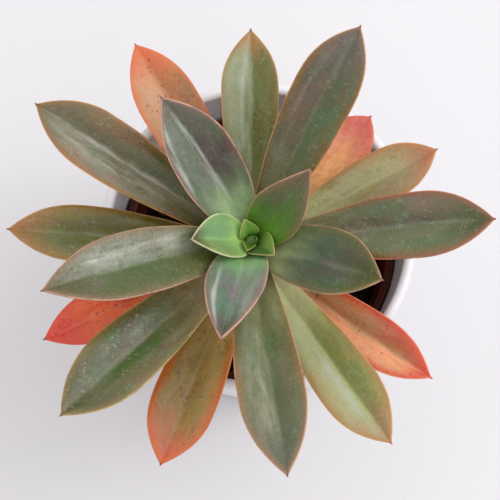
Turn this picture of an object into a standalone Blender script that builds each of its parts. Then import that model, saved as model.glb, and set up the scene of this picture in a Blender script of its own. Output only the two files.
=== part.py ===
"""Potted succulent: a rosette of fleshy leaves on a short stem, in a nursery pot that stands in a cover pot.

Metres, +Z up, -Y is the front. The origin is the centre of the cover pot's flat base.
The leaves are numbered from the youngest, in the middle of the rosette, to the oldest, at the bottom of it.
"""

import math
from collections import namedtuple

import bmesh
import bpy
import numpy as np

# Clearance between pieces that touch in the real object.
GAP = 0.0003

# Cover pot: a plain tapered pot with a rounded rim and a flat base.
COVER_HEIGHT = 0.110
COVER_TOP_RADIUS = 0.060
COVER_TAPER = 0.010
COVER_WALL = 0.0042
COVER_FLOOR = 0.005
COVER_FOOT_ROUND = 0.003

# Nursery pot: thin plastic with a stepped rim band and drainage holes. It stands on the cover pot's floor,
# its rim well below the cover pot's, pushed to one side within the play that it has there.
NURSERY_SINK = 0.020
NURSERY_PLAY = 0.0006
NURSERY_OFFSET = (0.0003, -0.0003)
NURSERY_TAPER = 0.0145
NURSERY_WALL = 0.0012
NURSERY_FLOOR = 0.0015
NURSERY_BAND_HEIGHT = 0.004
NURSERY_BAND_STEP = 0.0012
DRAIN_HOLES = 6
DRAIN_RADIUS = 0.004
DRAIN_CIRCLE_RADIUS = 0.026

# Soil: fills the nursery pot to a little below its rim and rises gently to the middle.
SOIL_BELOW_RIM = 0.016
SOIL_MOUND = 0.004

# Stem: leans from the soil towards the front as it rises, and thins towards the growing tip.
STEM_FOOT = (-0.0010, -0.0050)
STEM_TOP = (-0.0025, -0.0100)
STEM_ABOVE_RIM = 0.034
STEM_BURIED = 0.012
STEM_RADIUS = 0.0048
STEM_TIP_RADIUS = 0.0008
STEM_TAPER = 0.030

# Leaf nodes run down the stem from its top to the oldest leaf, just below the cover pot's rim. They lie closer
# together near the top. A longer or shorter stem moves the old leaves most, and the young ones hardly.
OLDEST_BELOW_RIM = 0.0058
CROWN_LENGTH = 0.0398
NODE_SPREAD = 1.25
STRETCH_SPREAD = 3.0

# Heights and radii that follow from the sizes above.
COVER_BASE_RADIUS = COVER_TOP_RADIUS - COVER_TAPER
NURSERY_BASE_HEIGHT = COVER_FLOOR + GAP
NURSERY_HEIGHT = COVER_HEIGHT - NURSERY_SINK - NURSERY_BASE_HEIGHT
NURSERY_BAND_BOTTOM = COVER_HEIGHT - NURSERY_SINK - NURSERY_BAND_HEIGHT
COVER_BORE_RADIUS = COVER_BASE_RADIUS + COVER_TAPER * NURSERY_BAND_BOTTOM / COVER_HEIGHT - COVER_WALL
NURSERY_TOP_RADIUS = COVER_BORE_RADIUS - NURSERY_PLAY
NURSERY_BASE_RADIUS = NURSERY_TOP_RADIUS - NURSERY_TAPER
SOIL_HEIGHT = COVER_HEIGHT - NURSERY_SINK - SOIL_BELOW_RIM
STEM_TOP_HEIGHT = COVER_HEIGHT + STEM_ABOVE_RIM

# Leaf form, the same for all leaves.
ROOT_GAP = 0.0005
CREASE_SOFTNESS = 0.35
CROWN_SHARE = 0.15
BASE_SHARE = 0.35
BASE_CAP = 0.03
CLASP = 34.0
CLASP_SHARE = 0.35
YOUNG_SWELL = 0.7
OLD_SWELL = 1.6
FULL_GROWN = 14

# Mesh fineness.
POT_STEPS = 48
STEM_STEPS = 10
LEAF_RINGS = 12
LEAF_SIDES = 12

# look: its colour, from LEAF_LOOKS. azimuth: the way it points, counter-clockwise from +X. length: along the
# midrib. width: at the widest. rise: how steeply it leaves the stem. droop: how much of that is lost by the
# tip. sway: its sideways turn by the tip. roll: its tilt about its own midrib. fold: how far each half is
# raised. widest: where, as a share of the length. keel: depth of the underside. point: from 1.6, a drawn-out
# tip, to 3, a blunt one. Angles are in degrees.
Leaf = namedtuple("Leaf", "name look azimuth length width rise droop sway roll fold widest keel point")

LEAF_LOOKS = {
    "young": (0.19, 0.37, 0.17),
    "green": (0.12, 0.17, 0.08),
    "grey": (0.14, 0.16, 0.13),
    "olive": (0.25, 0.17, 0.05),
    "orange": (0.66, 0.20, 0.07),
    "red": (0.56, 0.08, 0.04),
    "withered": (0.30, 0.12, 0.10),
}
LEAF_ROUGHNESS = 0.42

LEAVES = [
    Leaf("leaf_01", "young", 350, 0.0050, 0.0030, 84, 10, 0, 0, 28, 0.50, 0.0007, 2.0),
    Leaf("leaf_02", "young", 255, 0.0105, 0.0055, 76, 20, 0, 0, 28, 0.50, 0.0009, 2.0),
    Leaf("leaf_03", "young", 114, 0.0110, 0.0085, 76, 16, 0, 0, 28, 0.46, 0.0011, 1.7),
    Leaf("leaf_04", "young", 315, 0.0170, 0.0120, 68, 24, 0, 0, 28, 0.48, 0.0014, 1.6),
    Leaf("leaf_05", "young", 190, 0.0300, 0.0185, 60, 24, 2, 6, 24, 0.54, 0.0018, 2.0),
    Leaf("leaf_06", "green", 37, 0.0415, 0.0205, 56, 12, 12, 10, 22, 0.50, 0.0024, 1.6),
    Leaf("leaf_07", "grey", 254, 0.053, 0.0225, 49, 21, 3, 8, 20, 0.52, 0.0024, 2.0),
    Leaf("leaf_08", "grey", 124, 0.067, 0.0245, 48, 16, 6, 0, 18, 0.58, 0.0030, 2.4),
    Leaf("leaf_09", "grey", 334, 0.058, 0.0255, 44, 18, 3, 0, 18, 0.60, 0.0030, 2.6),
    Leaf("leaf_10", "grey", 198, 0.087, 0.0245, 38, 14, 5, 0, 16, 0.60, 0.0032, 2.4),
    Leaf("leaf_11", "grey", 63, 0.0875, 0.0235, 34, 10, -4, 0, 14, 0.70, 0.0034, 2.6),
    Leaf("leaf_12", "green", 274, 0.096, 0.0240, 30, 10, 7, 0, 14, 0.68, 0.0034, 2.4),
    Leaf("leaf_13", "green", 152, 0.092, 0.0235, 27, 12, -3, 0, 14, 0.72, 0.0034, 2.4),
    Leaf("leaf_14", "grey", 2, 0.0875, 0.0245, 24, 10, 0, 0, 12, 0.70, 0.0034, 2.4),
    Leaf("leaf_15", "green", 225, 0.095, 0.0250, 21, 8, 0, 0, 12, 0.70, 0.0034, 2.4),
    Leaf("leaf_16", "green", 92, 0.0765, 0.0215, 19, 8, -3, 0, 12, 0.70, 0.0032, 2.4),
    Leaf("leaf_17", "green", 300, 0.088, 0.0225, 17, 8, 6, 8, 14, 0.72, 0.0032, 2.4),
    Leaf("leaf_18", "olive", 179, 0.087, 0.0215, 15, 8, -2, 0, 12, 0.70, 0.0032, 2.4),
    Leaf("leaf_19", "olive", 27, 0.0735, 0.0205, 14, 8, 0, 0, 12, 0.70, 0.0032, 2.6),
    Leaf("leaf_20", "olive", 245, 0.085, 0.0240, 12, 8, 6, 0, 12, 0.72, 0.0030, 2.4),
    Leaf("leaf_21", "orange", 121, 0.086, 0.0235, 11, 10, -2, 0, 12, 0.68, 0.0028, 2.4),
    Leaf("leaf_22", "orange", 319, 0.078, 0.0195, 10, 10, 8, 0, 12, 0.68, 0.0026, 2.4),
    Leaf("leaf_23", "red", 204, 0.081, 0.0205, 9, 12, 0, 0, 12, 0.68, 0.0022, 2.4),
    Leaf("leaf_24", "red", 49, 0.064, 0.0200, 8, 4, 0, 0, 8, 0.70, 0.0014, 3.0),
    Leaf("dry_leaf", "withered", 160, 0.036, 0.0090, -24, 10, 12, 20, 34, 0.50, 0.0010, 2.0),
]


def stem_axis(height):
    """The stem's centre at a height: upright in the soil, then a straight lean to its tip."""
    collar = SOIL_HEIGHT + SOIL_MOUND
    share = min(max((height - collar) / (STEM_TOP_HEIGHT - collar), 0.0), 1.0)
    return [foot + (top - foot) * share for foot, top in zip(STEM_FOOT, STEM_TOP)]


def stem_radius(height):
    """The stem's radius at a height: even up to the taper, then a quarter ellipse to the growing tip."""
    share = min(max((height - (STEM_TOP_HEIGHT - STEM_TAPER)) / STEM_TAPER, 0.0), 1.0)
    return STEM_TIP_RADIUS + (STEM_RADIUS - STEM_TIP_RADIUS) * math.sqrt(1.0 - share**2)


def station(number):
    """The height on the stem at which leaf number n grows, counted from 1 at the top."""
    share = (number - 1) / (len(LEAVES) - 1)
    stretch = STEM_ABOVE_RIM + OLDEST_BELOW_RIM - CROWN_LENGTH
    return STEM_TOP_HEIGHT - CROWN_LENGTH * share**NODE_SPREAD - stretch * share**STRETCH_SPREAD


def outline(leaf, number, shares):
    """Half-width along a leaf as a share of its widest: a swell from the base, then a curve to the tip.

    A young leaf is broad from its base on, and a full-grown one narrows to a waist above its base.
    """
    power = YOUNG_SWELL + (OLD_SWELL - YOUNG_SWELL) * min((number - 1) / (FULL_GROWN - 1), 1.0)
    before = np.clip(shares / leaf.widest, 0.0, 1.0)
    after = np.clip((shares - leaf.widest) / (1.0 - leaf.widest), 0.0, 1.0)
    swell = BASE_SHARE + (1.0 - BASE_SHARE) * np.sin(0.5 * math.pi * before) ** power
    return swell * (1.0 - after**leaf.point)


def midrib(leaf, number, shares):
    """Midrib points, and the left and up directions there, at these shares of the leaf's length.

    The midrib climbs at rise - droop * share, and CLASP more at its base, where it clasps the bud. It heads
    for azimuth + sway * share. Its points are a running sum of these directions.
    """
    steps = np.linspace(0.0, 1.0, 241)
    clasp = CLASP * np.clip(1.0 - steps / CLASP_SHARE, 0.0, 1.0) ** 2
    climb = np.radians(np.minimum(leaf.rise - leaf.droop * steps + clasp, 88.0))
    heading = np.radians(leaf.azimuth + leaf.sway * steps)
    level = np.cos(climb)
    ahead = np.stack([level * np.cos(heading), level * np.sin(heading), np.sin(climb)], 1)
    halfway = 0.5 * (ahead[1:] + ahead[:-1])
    run = np.concatenate([np.zeros((1, 3)), np.cumsum(halfway, 0)]) / (len(steps) - 1)
    height = station(number)
    reach = stem_radius(height) + ROOT_GAP
    centre = stem_axis(height)
    root = [centre[0] + reach * math.cos(heading[0]), centre[1] + reach * math.sin(heading[0]), height]
    path = np.array(root) + leaf.length * run
    points = np.stack([np.interp(shares, steps, path[:, k]) for k in range(3)], 1)
    along = np.stack([np.interp(shares, steps, ahead[:, k]) for k in range(3)], 1)
    turn = np.interp(shares, steps, heading)
    left = np.stack([-np.sin(turn), np.cos(turn), np.zeros_like(turn)], 1)
    up = np.cross(along, left)
    roll = np.radians(leaf.roll) * np.clip(shares / 0.3, 0.0, 1.0)[:, None]
    return points, left * np.cos(roll) + up * np.sin(roll), up * np.cos(roll) - left * np.sin(roll)


def leaf_points(leaf, number, shares, sides):
    """Points of a leaf's skin at these shares of its length and these angles round its section.

    The section is a soft V, thickened by a shallow half-ellipse above it and a deeper one, the keel, below.
    """
    points, left, up = midrib(leaf, number, shares)
    cap = np.sqrt(1.0 - np.clip(1.0 - shares / BASE_CAP, 0.0, 1.0) ** 2)
    half = 0.5 * leaf.width * outline(leaf, number, shares) * cap
    depth = leaf.keel * np.sqrt(np.clip(1.0 - shares**2, 0.0, 1.0)) * cap
    fold = math.radians(leaf.fold)
    across, lift = np.cos(sides), np.sin(sides)
    crease = np.sqrt(across**2 + CREASE_SOFTNESS**2) - CREASE_SOFTNESS
    crease /= math.sqrt(1.0 + CREASE_SOFTNESS**2) - CREASE_SOFTNESS
    belly = np.where(lift > 0.0, CROWN_SHARE * lift, lift)
    sideways = (half * across * math.cos(fold))[:, None]
    upwards = (half * crease * math.sin(fold) + depth * belly)[:, None]
    return points + left * sideways + up * upwards


def clear_scene():
    for obj in list(bpy.data.objects):
        bpy.data.objects.remove(obj, do_unlink=True)


def add_object(name, data, collection):
    made = bpy.data.objects.new(name, data)
    collection.objects.link(made)
    return made


def paint(obj, colour, roughness):
    """Gives an object its own plain material, named after it."""
    look = bpy.data.materials.new(obj.name)
    look.use_nodes = True
    shader = look.node_tree.nodes["Principled BSDF"]
    shader.inputs["Base Color"].default_value = (*colour, 1.0)
    shader.inputs["Roughness"].default_value = roughness
    shader.inputs["Metallic"].default_value = 0.0
    obj.data.materials.append(look)


def arc(centre, radius, start, end, count):
    """Points on a circle in the radius-height plane, from one angle to another, in degrees."""
    angles = np.radians(np.linspace(start, end, count))
    return [(centre[0] + radius * math.cos(a), centre[1] + radius * math.sin(a)) for a in angles]


def turned(name, profile, collection, centre=(0.0, 0.0), base=0.0):
    """A turned solid. The profile runs from axis to axis, down its outer side, and a Screw spins it."""
    mesh = bpy.data.meshes.new(name)
    points = [(radius, 0.0, height) for radius, height in profile]
    mesh.from_pydata(points, [(i, i + 1) for i in range(len(points) - 1)], [])
    made = add_object(name, mesh, collection)
    made.location = (*centre, base)
    screw = made.modifiers.new("Spin", "SCREW")
    screw.axis = "Z"
    screw.steps = POT_STEPS
    screw.render_steps = POT_STEPS
    screw.use_merge_vertices = True
    screw.merge_threshold = 0.00001
    return made


def cover_outer_radius(height):
    return COVER_BASE_RADIUS + (COVER_TOP_RADIUS - COVER_BASE_RADIUS) * height / COVER_HEIGHT


def build_cover_pot(collection):
    rim = 0.5 * COVER_WALL
    rim_centre = (COVER_TOP_RADIUS - rim, COVER_HEIGHT - rim)
    foot_centre = (COVER_BASE_RADIUS - COVER_FOOT_ROUND, COVER_FOOT_ROUND)
    profile = [(0.0, COVER_FLOOR), (cover_outer_radius(COVER_FLOOR) - COVER_WALL, COVER_FLOOR)]
    profile += arc(rim_centre, rim, 180, 0, 7)
    profile += arc(foot_centre, COVER_FOOT_ROUND, 0, -90, 4)
    profile += [(0.0, 0.0)]
    paint(turned("cover_pot", profile, collection), (0.80, 0.80, 0.82), 0.35)


def nursery_inner_radius(height):
    """The nursery pot's inside radius at a height above its own underside, below the rim band's step."""
    top = NURSERY_TOP_RADIUS - NURSERY_BAND_STEP - NURSERY_WALL
    base = NURSERY_BASE_RADIUS - NURSERY_WALL
    return base + (top - base) * height / NURSERY_HEIGHT


def build_nursery_pot(collection, cutters):
    ledge = NURSERY_HEIGHT - NURSERY_BAND_HEIGHT
    inner_ledge = ledge + NURSERY_WALL
    profile = [
        (0.0, NURSERY_FLOOR),
        (nursery_inner_radius(NURSERY_FLOOR), NURSERY_FLOOR),
        (nursery_inner_radius(inner_ledge), inner_ledge),
        (NURSERY_TOP_RADIUS - NURSERY_WALL, inner_ledge + NURSERY_BAND_STEP),
        (NURSERY_TOP_RADIUS - NURSERY_WALL, NURSERY_HEIGHT),
        (NURSERY_TOP_RADIUS, NURSERY_HEIGHT),
        (NURSERY_TOP_RADIUS, ledge),
        (nursery_inner_radius(ledge) + NURSERY_WALL, ledge),
        (NURSERY_BASE_RADIUS, 0.0),
        (0.0, 0.0),
    ]
    made = turned("nursery_pot", profile, collection, NURSERY_OFFSET, NURSERY_BASE_HEIGHT)
    paint(made, (0.10, 0.03, 0.015), 0.45)
    holes = bmesh.new()
    for turn in range(DRAIN_HOLES):
        angle = 2.0 * math.pi * turn / DRAIN_HOLES
        drill = bmesh.ops.create_cone(
            holes,
            cap_ends=True,
            segments=12,
            radius1=DRAIN_RADIUS,
            radius2=DRAIN_RADIUS,
            depth=4 * NURSERY_FLOOR,
        )
        east = DRAIN_CIRCLE_RADIUS * math.cos(angle)
        north = DRAIN_CIRCLE_RADIUS * math.sin(angle)
        bmesh.ops.translate(holes, verts=drill["verts"], vec=[east, north, 0.5 * NURSERY_FLOOR])
    cut_with(made, "drain_cutter", holes, (*NURSERY_OFFSET, NURSERY_BASE_HEIGHT), cutters)


def cut_with(target, name, shape, place, cutters):
    """Cuts a shape out of the target with a Boolean. The cutter stays as a helper that isn't rendered."""
    mesh = bpy.data.meshes.new(name)
    shape.to_mesh(mesh)
    shape.free()
    cutter = add_object(name, mesh, cutters)
    cutter.location = place
    cutter.hide_render = True
    cutter.display_type = "WIRE"
    cut = target.modifiers.new("Cut", "BOOLEAN")
    cut.operation = "DIFFERENCE"
    cut.object = cutter


def build_soil(collection, cutters):
    """A plug that fills the nursery pot, with a socket for the buried end of the stem."""
    floor = NURSERY_FLOOR + GAP
    top = NURSERY_HEIGHT - SOIL_BELOW_RIM
    edge = nursery_inner_radius(top) - GAP
    profile = [(0.0, top + SOIL_MOUND)]
    profile += [(share * edge, top + SOIL_MOUND * (1.0 - share**2)) for share in (0.25, 0.5, 0.75, 1.0)]
    profile += [(nursery_inner_radius(floor) - GAP, floor), (0.0, floor)]
    made = turned("soil", profile, collection, NURSERY_OFFSET, NURSERY_BASE_HEIGHT)
    paint(made, (0.035, 0.022, 0.015), 0.95)
    depth = STEM_BURIED + SOIL_MOUND + 2 * GAP
    socket = bmesh.new()
    bmesh.ops.create_cone(
        socket,
        cap_ends=True,
        segments=16,
        radius1=STEM_RADIUS + 2 * GAP,
        radius2=STEM_RADIUS + 2 * GAP,
        depth=2 * depth,
    )
    cut_with(made, "socket_cutter", socket, (*STEM_FOOT, SOIL_HEIGHT - STEM_BURIED - GAP + depth), cutters)
    return made


def build_stem(collection):
    """A tapered stem on a straight, leaning line, from its buried end to the growing tip."""
    foot = SOIL_HEIGHT - STEM_BURIED
    heights = [foot + (STEM_TOP_HEIGHT - foot) * step / STEM_STEPS for step in range(STEM_STEPS)]
    heights += [STEM_TOP_HEIGHT - share * STEM_TAPER for share in (0.10, 0.02)]
    curve = bpy.data.curves.new("stem", "CURVE")
    curve.dimensions = "3D"
    curve.bevel_depth = STEM_RADIUS
    curve.bevel_resolution = 4
    curve.use_fill_caps = True
    line = curve.splines.new("POLY")
    line.points.add(len(heights) - 1)
    for point, height in zip(line.points, sorted(heights)):
        point.co = (*stem_axis(height), height, 1.0)
        point.radius = stem_radius(height) / STEM_RADIUS
    paint(add_object("stem", curve, collection), (0.26, 0.20, 0.11), 0.7)


def build_leaf(leaf, number, collection):
    """A ball whose rings become the leaf's sections, from the pole at its base to the pole at its tip."""
    shape = bmesh.new()
    bmesh.ops.create_uvsphere(shape, u_segments=LEAF_SIDES, v_segments=LEAF_RINGS + 1, radius=1.0)
    ball = np.array([vertex.co for vertex in shape.verts])
    shares = np.clip(0.5 + 0.5 * ball[:, 2], 0.0, 1.0)
    skin = leaf_points(leaf, number, shares, np.arctan2(ball[:, 1], ball[:, 0]))
    for vertex, place in zip(shape.verts, skin):
        vertex.co = place
    mesh = bpy.data.meshes.new(leaf.name)
    shape.to_mesh(mesh)
    shape.free()
    mesh.shade_smooth()
    paint(add_object(leaf.name, mesh, collection), LEAF_LOOKS[leaf.look], LEAF_ROUGHNESS)


def main():
    clear_scene()
    parts = bpy.data.collections.new("potted_succulent")
    cutters = bpy.data.collections.new("cutters")
    bpy.context.scene.collection.children.link(parts)
    bpy.context.scene.collection.children.link(cutters)
    build_cover_pot(parts)
    build_nursery_pot(parts, cutters)
    build_soil(parts, cutters)
    build_stem(parts)
    for number, leaf in enumerate(LEAVES, 1):
        build_leaf(leaf, number, parts)


if __name__ == "__main__":
    main()
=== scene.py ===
"""Potted succulent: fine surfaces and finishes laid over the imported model.

Metres, +Z up, -Y is the front. The pots, the soil, the stem and the leaves are surfaces worked out with numpy
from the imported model's sizes and the leaf table. Each takes the place of the plain solid of its kind.
"""

import math
from collections import namedtuple

import bpy
import numpy as np
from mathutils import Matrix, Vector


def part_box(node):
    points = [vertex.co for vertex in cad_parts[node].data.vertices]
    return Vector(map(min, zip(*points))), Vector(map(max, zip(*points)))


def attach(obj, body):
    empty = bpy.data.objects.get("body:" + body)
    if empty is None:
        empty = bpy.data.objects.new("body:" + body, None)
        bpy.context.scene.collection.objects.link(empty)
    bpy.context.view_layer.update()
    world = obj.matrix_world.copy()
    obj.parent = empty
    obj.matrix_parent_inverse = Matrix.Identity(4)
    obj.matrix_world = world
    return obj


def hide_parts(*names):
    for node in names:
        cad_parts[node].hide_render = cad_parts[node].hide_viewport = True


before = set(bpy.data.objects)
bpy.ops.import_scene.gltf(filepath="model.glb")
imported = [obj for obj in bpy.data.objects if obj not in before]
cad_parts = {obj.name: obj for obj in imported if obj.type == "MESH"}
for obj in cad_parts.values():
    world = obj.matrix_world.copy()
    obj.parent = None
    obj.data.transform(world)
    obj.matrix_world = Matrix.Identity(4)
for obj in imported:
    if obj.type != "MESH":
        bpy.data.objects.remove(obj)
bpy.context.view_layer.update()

# ---------------------------------------------------------------- sizes

COVER_LOW, COVER_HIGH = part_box("cover_pot")
NURSERY_LOW, NURSERY_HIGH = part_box("nursery_pot")
SOIL_LOW, SOIL_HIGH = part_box("soil")
STEM_LOW, STEM_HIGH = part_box("stem")

GAP = 0.0003
COVER_HEIGHT = COVER_HIGH.z
COVER_TAPER = 0.010
COVER_TOP_RADIUS = 0.5 * (COVER_HIGH.x - COVER_LOW.x)
COVER_BASE_RADIUS = COVER_TOP_RADIUS - COVER_TAPER
COVER_WALL = 0.0042
COVER_FLOOR = 0.005
COVER_FOOT_ROUND = 0.003
COVER_FLOOR_ROUND = 0.003

NURSERY_CENTRE = (0.5 * (NURSERY_LOW.x + NURSERY_HIGH.x), 0.5 * (NURSERY_LOW.y + NURSERY_HIGH.y))
NURSERY_RADIUS = 0.5 * (NURSERY_HIGH.x - NURSERY_LOW.x)
NURSERY_TAPER = 0.0145
NURSERY_WALL = 0.0012
NURSERY_FLOOR = 0.0015
NURSERY_BAND_HEIGHT = 0.004
NURSERY_BAND_STEP = 0.0012
DRAIN_HOLES = 6
DRAIN_RADIUS = 0.004
DRAIN_CIRCLE_RADIUS = 0.026
DRILL_BELOW = 0.002
DRILL_ABOVE = 0.004

SOIL_BELOW_RIM = 0.016
SOIL_HEIGHT = NURSERY_HIGH.z - SOIL_BELOW_RIM
SOIL_MOUND = SOIL_HIGH.z - SOIL_HEIGHT
SOIL_EDGE = 0.5 * (SOIL_HIGH.x - SOIL_LOW.x)
SOIL_RINGS = 90
SOIL_SINK = 0.0004
SETTLED_SHARE = 0.06
# The soil's clods and grains: height, spacing and seed.
CLODS = ((0.0011, 0.016, 7), (0.0006, 0.006, 8), (0.0003, 0.0022, 9))

CRUMBS = 900
CRUMB_SMALLEST = 0.0004
CRUMB_RANGE = 0.0013
CRUMB_FROM_WALL = 0.0022
CRUMB_FROM_STEM = 0.002
CRUMB_RINGS = 6
CRUMB_SIDES = 8

TURNED_SIDES = 160
FINE_SIDES = 200

STEM_FOOT = (-0.0010, -0.0050)
STEM_TOP = (-0.0025, -0.0100)
STEM_TOP_HEIGHT = COVER_HEIGHT + 0.034
STEM_RADIUS = 0.0048
STEM_TIP_RADIUS = 0.0008
STEM_TAPER = 0.030
STEM_RINGS = 220
STEM_SIDES = 48
CROWN_LENGTH = 0.0398
NODE_SPREAD = 1.25

# Leaf scars: how many, how far apart up the stem and round it, and their half-width, half-height and swell.
SCARS = 15
SCAR_RISE = 0.0016
SCAR_TURN = math.radians(137.5)
SCAR_HALF_WIDTH = 0.0020
SCAR_HALF_HEIGHT = 0.0009
SCAR_SWELL = 0.00035
BARK_ROUGHNESS = 0.00018

# Leaf form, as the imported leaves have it.
ROOT_GAP = 0.0005
CROWN_SHARE = 0.15
BASE_SHARE = 0.35
BASE_CAP = 0.03
CLASP = 34.0
CLASP_SHARE = 0.35
STEEPEST = 88.0
ROLL_SHARE = 0.3
YOUNG_SWELL = 0.7
OLD_SWELL = 1.6
FULL_GROWN = 14
MIDRIB_STEPS = 241

# The visible skin adds a sharper crease, a pillow-like swell of each half, a round rim, a nib at the tip and a
# soft unevenness. UNEVEN_PITCH and PUCKER_PITCH are in millimetres along and across a leaf, and PATTERN_SHIFT
# sets the leaves' patterns apart.
CREASE_SOFTNESS = 0.22
RIM_THICKNESS = 0.00045
RIM_WANDER = 0.018
NIB_LENGTH = 0.0006
NIB_RADIUS = 0.00035
NIB_FULL_LENGTH = 0.04
SKIN_FULL_LENGTH = 0.05
UNEVENNESS = 0.00022
PILLOW = 0.0006
PILLOW_SHARE = 0.3
UNEVEN_PITCH = (26.0, 15.0)
PUCKER_PITCH = (9.0, 4.5)
PATTERN_SHIFT = 37.0
LEAF_RINGS = 96
UPPER_SIDES = 44
UNDER_SIDES = 24

# azimuth, rise, droop, sway, roll and fold are in degrees, and length, width, keel and crinkle in metres.
# widest is the share of the length at which the leaf is widest, keel how far its underside swells, point the
# power of the curve to its tip, and crinkle how far a dried leaf's skin is puckered.
Leaf = namedtuple("Leaf", "name slot azimuth length width rise droop sway roll fold widest keel point crinkle")

LEAVES = [
    Leaf("leaf_01", "leaf_young", 350, 0.0050, 0.0030, 84, 10, 0, 0, 28, 0.50, 0.0007, 2.0, 0.0),
    Leaf("leaf_02", "leaf_young", 255, 0.0105, 0.0055, 76, 20, 0, 0, 28, 0.50, 0.0009, 2.0, 0.0),
    Leaf("leaf_03", "leaf_young", 114, 0.0110, 0.0085, 76, 16, 0, 0, 28, 0.46, 0.0011, 1.7, 0.0),
    Leaf("leaf_04", "leaf_young", 315, 0.0170, 0.0120, 68, 24, 0, 0, 28, 0.48, 0.0014, 1.6, 0.0),
    Leaf("leaf_05", "leaf_young", 190, 0.0300, 0.0185, 60, 24, 2, 6, 24, 0.54, 0.0018, 2.0, 0.0),
    Leaf("leaf_06", "leaf_green", 37, 0.0415, 0.0205, 56, 12, 12, 10, 22, 0.50, 0.0024, 1.6, 0.0),
    Leaf("leaf_07", "leaf_grey", 254, 0.053, 0.0225, 49, 21, 3, 8, 20, 0.52, 0.0024, 2.0, 0.0),
    Leaf("leaf_08", "leaf_grey", 124, 0.067, 0.0245, 48, 16, 6, 0, 18, 0.58, 0.0030, 2.4, 0.0),
    Leaf("leaf_09", "leaf_grey", 334, 0.058, 0.0255, 44, 18, 3, 0, 18, 0.60, 0.0030, 2.6, 0.0),
    Leaf("leaf_10", "leaf_grey", 198, 0.087, 0.0245, 38, 14, 5, 0, 16, 0.60, 0.0032, 2.4, 0.0),
    Leaf("leaf_11", "leaf_grey", 63, 0.0875, 0.0235, 34, 10, -4, 0, 14, 0.70, 0.0034, 2.6, 0.0),
    Leaf("leaf_12", "leaf_green", 274, 0.096, 0.0240, 30, 10, 7, 0, 14, 0.68, 0.0034, 2.4, 0.0),
    Leaf("leaf_13", "leaf_green", 152, 0.092, 0.0235, 27, 12, -3, 0, 14, 0.72, 0.0034, 2.4, 0.0),
    Leaf("leaf_14", "leaf_grey", 2, 0.0875, 0.0245, 24, 10, 0, 0, 12, 0.70, 0.0034, 2.4, 0.0),
    Leaf("leaf_15", "leaf_green", 225, 0.095, 0.0250, 21, 8, 0, 0, 12, 0.70, 0.0034, 2.4, 0.0),
    Leaf("leaf_16", "leaf_green", 92, 0.0765, 0.0215, 19, 8, -3, 0, 12, 0.70, 0.0032, 2.4, 0.0),
    Leaf("leaf_17", "leaf_green", 300, 0.088, 0.0225, 17, 8, 6, 8, 14, 0.72, 0.0032, 2.4, 0.0),
    Leaf("leaf_18", "leaf_olive", 179, 0.087, 0.0215, 15, 8, -2, 0, 12, 0.70, 0.0032, 2.4, 0.0),
    Leaf("leaf_19", "leaf_olive", 27, 0.0735, 0.0205, 14, 8, 0, 0, 12, 0.70, 0.0032, 2.6, 0.0),
    Leaf("leaf_20", "leaf_olive", 245, 0.085, 0.0240, 12, 8, 6, 0, 12, 0.72, 0.0030, 2.4, 0.0),
    Leaf("leaf_21", "leaf_orange", 121, 0.086, 0.0235, 11, 10, -2, 0, 12, 0.68, 0.0028, 2.4, 0.0),
    Leaf("leaf_22", "leaf_orange", 319, 0.078, 0.0195, 10, 10, 8, 0, 12, 0.68, 0.0026, 2.4, 0.0),
    Leaf("leaf_23", "leaf_red", 204, 0.081, 0.0205, 9, 12, 0, 0, 12, 0.68, 0.0022, 2.4, 0.0003),
    Leaf("leaf_24", "leaf_red", 49, 0.064, 0.0200, 8, 4, 0, 0, 8, 0.70, 0.0014, 3.0, 0.0004),
    Leaf("dry_leaf", "leaf_withered", 160, 0.036, 0.0090, -24, 10, 12, 20, 34, 0.50, 0.0010, 2.0, 0.0007),
]


# ---------------------------------------------------------------- shapes


def skin_faces(count, sides):
    """Faces over this many rings of points: quads between the inner rings, and a fan to each end's point."""
    ring = np.arange(count - 3)[:, None] * sides
    here = np.arange(sides)
    ahead = (here + 1) % sides
    quads = np.stack([ring + here, ring + ahead, ring + sides + ahead, ring + sides + here], -1).reshape(-1, 4)
    last = (count - 3) * sides
    ends = (count - 2) * sides
    start = np.stack([ahead, here, np.full(sides, ends)], -1)
    end = np.stack([last + here, last + ahead, np.full(sides, ends + 1)], -1)
    return [quads, start, end]


def ring_values(values):
    """Values on rings of points, in the order of skin_faces: the inner rings, then each end drawn together."""
    flat = values[1:-1].reshape(-1, *values.shape[2:])
    return np.concatenate([flat, values[:1].mean(1), values[-1:].mean(1)])


def closed_skin(name, rings):
    """A mesh from rings of points, shape (rings, sides, 3). The first and last rings shrink to one point each.

    The volume's sign says whether the faces point outwards, and they are all turned if they don't.
    """
    points = ring_values(rings)
    quads, start, end = skin_faces(*rings.shape[:2])
    corners = np.concatenate([quads[:, [0, 1, 2]], quads[:, [0, 2, 3]], start, end])
    a, b, c = points[corners[:, 0]], points[corners[:, 1]], points[corners[:, 2]]
    turn = -1 if np.einsum("ij,ij->", a, np.cross(b, c)) < 0.0 else 1
    return faces_mesh(name, points, [group[:, ::turn] for group in (quads, start, end)])


def faces_mesh(name, points, groups):
    """A smooth mesh from a point array and arrays of faces, each array holding faces of one corner count."""
    mesh = bpy.data.meshes.new(name)
    loops = np.concatenate([group.ravel() for group in groups])
    sizes = np.concatenate([np.full(len(group), group.shape[1]) for group in groups])
    starts = np.concatenate([[0], np.cumsum(sizes)[:-1]])
    mesh.vertices.add(len(points))
    mesh.loops.add(len(loops))
    mesh.polygons.add(len(sizes))
    mesh.vertices.foreach_set("co", points.astype(np.float32).ravel())
    mesh.loops.foreach_set("vertex_index", loops.astype(np.int32))
    mesh.polygons.foreach_set("loop_start", starts.astype(np.int32))
    mesh.polygons.foreach_set("loop_total", sizes.astype(np.int32))
    mesh.update(calc_edges=True)
    mesh.validate()
    mesh.shade_smooth()
    return mesh


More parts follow.
